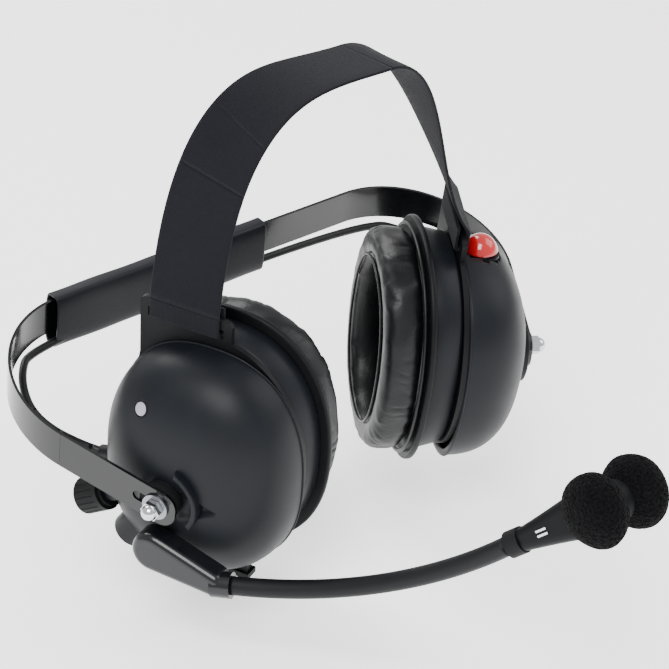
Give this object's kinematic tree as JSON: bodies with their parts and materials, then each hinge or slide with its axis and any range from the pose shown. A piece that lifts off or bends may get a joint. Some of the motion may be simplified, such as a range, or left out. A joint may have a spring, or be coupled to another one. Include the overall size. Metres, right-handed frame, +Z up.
{
  "type": "behind-the-head headset with boom microphone",
  "caption": "Black twin-earmuff two-way headset with a sprung band behind the head, an overhead strap, a gooseneck boom microphone and a red talk button.",
  "frame": {"origin": "the middle of the wearer's head, halfway between the two ear cushions", "axes": "+Z up, -Y the way the wearer faces, +X the wearer's left"},
  "size_m": [0.2439, 0.2749, 0.209],
  "materials": {
    "black_spring_steel": "gloss",
    "black_vinyl": "satin",
    "cable_jacket": "matte",
    "strap_webbing": "matte",
    "cup_plastic": "satin",
    "dark_plastic": "satin",
    "gloss_black_plastic": "gloss",
    "cushion_leatherette": "satin",
    "acoustic_foam": "matte",
    "windscreen_foam": "matte",
    "speaker_body": "satin",
    "polished_chrome": "polished",
    "zinc_steel": "satin",
    "black_rubber": "matte",
    "red_button": "gloss",
    "blue_button": "gloss",
    "frosted_lens": "satin",
    "switch_body": "matte",
    "circuit_board": "satin",
    "battery_wrap": "satin"
  },
  "bodies": {
    "band": {"band_back": "black_spring_steel", "band_sleeve": "black_vinyl", "crossover_cable": "cable_jacket", "head_strap": "strap_webbing"},
    "right_band_arm": {"right_arm": "black_spring_steel"},
    "right_slider": {"right_rubber_washer": "black_rubber", "right_flat_washer": "zinc_steel"},
    "right_cup": {"right_cushion": "cushion_leatherette", "right_cushion_plate": "dark_plastic", "right_inner_cup": "cup_plastic", "right_strap_bracket": "dark_plastic", "right_shell_screws": "zinc_steel", "right_damping_foam": "acoustic_foam", "right_speaker": "speaker_body", "right_stud": "zinc_steel", "right_acorn_nut": "polished_chrome", "right_strap_end": "strap_webbing", "right_cable_grommet": "cable_jacket", "right_outer_shell": "cup_plastic", "volume_bushing": "zinc_steel", "function_bezel": "cup_plastic", "function_switch": "switch_body", "status_lens": "frosted_lens", "charging_socket": "switch_body", "main_board": "circuit_board", "boom_pin": "cup_plastic"},
    "volume": {"volume_knob": "black_rubber", "volume_shaft": "zinc_steel"},
    "function": {"function_button": "blue_button"},
    "port": {"port_cover": "black_rubber"},
    "boom": {"boom_mount": "gloss_black_plastic", "gooseneck_rear": "black_rubber"},
    "boom_end": {"gooseneck_front": "black_rubber", "tip_collar": "black_rubber", "mic_core": "dark_plastic", "mic_outer_half": "dark_plastic", "mic_inner_half": "dark_plastic", "mic_slot_trim": "polished_chrome", "outer_windscreen": "windscreen_foam", "inner_windscreen": "windscreen_foam"},
    "left_band_arm": {"left_arm": "black_spring_steel"},
    "left_slider": {"left_rubber_washer": "black_rubber", "left_flat_washer": "zinc_steel"},
    "left_cup": {"left_cushion": "cushion_leatherette", "left_cushion_plate": "dark_plastic", "left_inner_cup": "cup_plastic", "left_strap_bracket": "dark_plastic", "left_shell_screws": "zinc_steel", "left_damping_foam": "acoustic_foam", "left_speaker": "speaker_body", "left_stud": "zinc_steel", "left_acorn_nut": "polished_chrome", "left_strap_end": "strap_webbing", "left_cable_grommet": "cable_jacket", "left_outer_shell": "cup_plastic", "talk_collar": "cup_plastic", "talk_switch": "switch_body", "battery": "battery_wrap", "charge_board": "circuit_board"},
    "talk": {"talk_button": "red_button"}
  },
  "joints": [
    {"name": "right_arm_flex", "type": "hinge", "parent": "band", "child": "right_band_arm", "pos_m": [-0.11448, 0.00715, 0.00166], "axis": [0, 0.1513, -0.9885], "range_deg": [0, 32], "stiffness_Nm_per_rad": 1.6, "deforming": ["crossover_cable", "head_strap"]},
    {"name": "right_cup_slide", "type": "slide", "parent": "right_band_arm", "child": "right_slider", "axis": [-0.3767, 0.8721, 0.3123], "range_m": [0, 0.008]},
    {"name": "right_cup_pivot", "type": "hinge", "parent": "right_slider", "child": "right_cup", "pos_m": [-0.09745, -0.03077, -0.01196], "axis": [-0.9239, -0.3783, -0.0579], "range_deg": [-12, 12]},
    {"name": "left_arm_flex", "type": "hinge", "parent": "band", "child": "left_band_arm", "pos_m": [0.11832, 0.00144, -0.00038], "axis": [0, -0.1513, 0.9885], "range_deg": [0, 32], "stiffness_Nm_per_rad": 1.6},
    {"name": "left_cup_slide", "type": "slide", "parent": "left_band_arm", "child": "left_slider", "axis": [0.508, 0.8109, 0.2904], "range_m": [0, 0.008]},
    {"name": "left_cup_pivot", "type": "hinge", "parent": "left_slider", "child": "left_cup", "pos_m": [0.09749, -0.0307, -0.01195], "axis": [0.8572, -0.5091, -0.0779], "range_deg": [-12, 12]},
    {"name": "volume_turn", "type": "hinge", "parent": "right_cup", "child": "volume", "pos_m": [-0.09316, 0.01085, -0.02759], "axis": [-0.3135, 0.8348, -0.4525], "range_deg": [-140, 140]},
    {"name": "function_press", "type": "slide", "parent": "right_cup", "child": "function", "axis": [0.1971, -0.6, 0.7753], "range_m": [0, 0.0015], "stiffness_N_per_m": 300},
    {"name": "port_cover_pull", "type": "slide", "parent": "right_cup", "child": "port", "axis": [0.02, 0.1033, -0.9945], "range_m": [0, 0.006]},
    {"name": "boom_swivel", "type": "hinge", "parent": "right_cup", "child": "boom", "pos_m": [-0.09563, -0.02686, -0.03365], "axis": [-0.9239, -0.3783, -0.0579], "range_deg": [-60, 15]},
    {"name": "boom_bend", "type": "hinge", "parent": "boom", "child": "boom_end", "pos_m": [-0.05324, -0.10774, -0.02804], "axis": [-0.1773, 0.3335, 0.9259], "range_deg": [-35, 35]},
    {"name": "talk_press", "type": "slide", "parent": "left_cup", "child": "talk", "axis": [-0.027, 0.1067, -0.9939], "range_m": [0, 0.0012], "stiffness_N_per_m": 300}
  ]
}
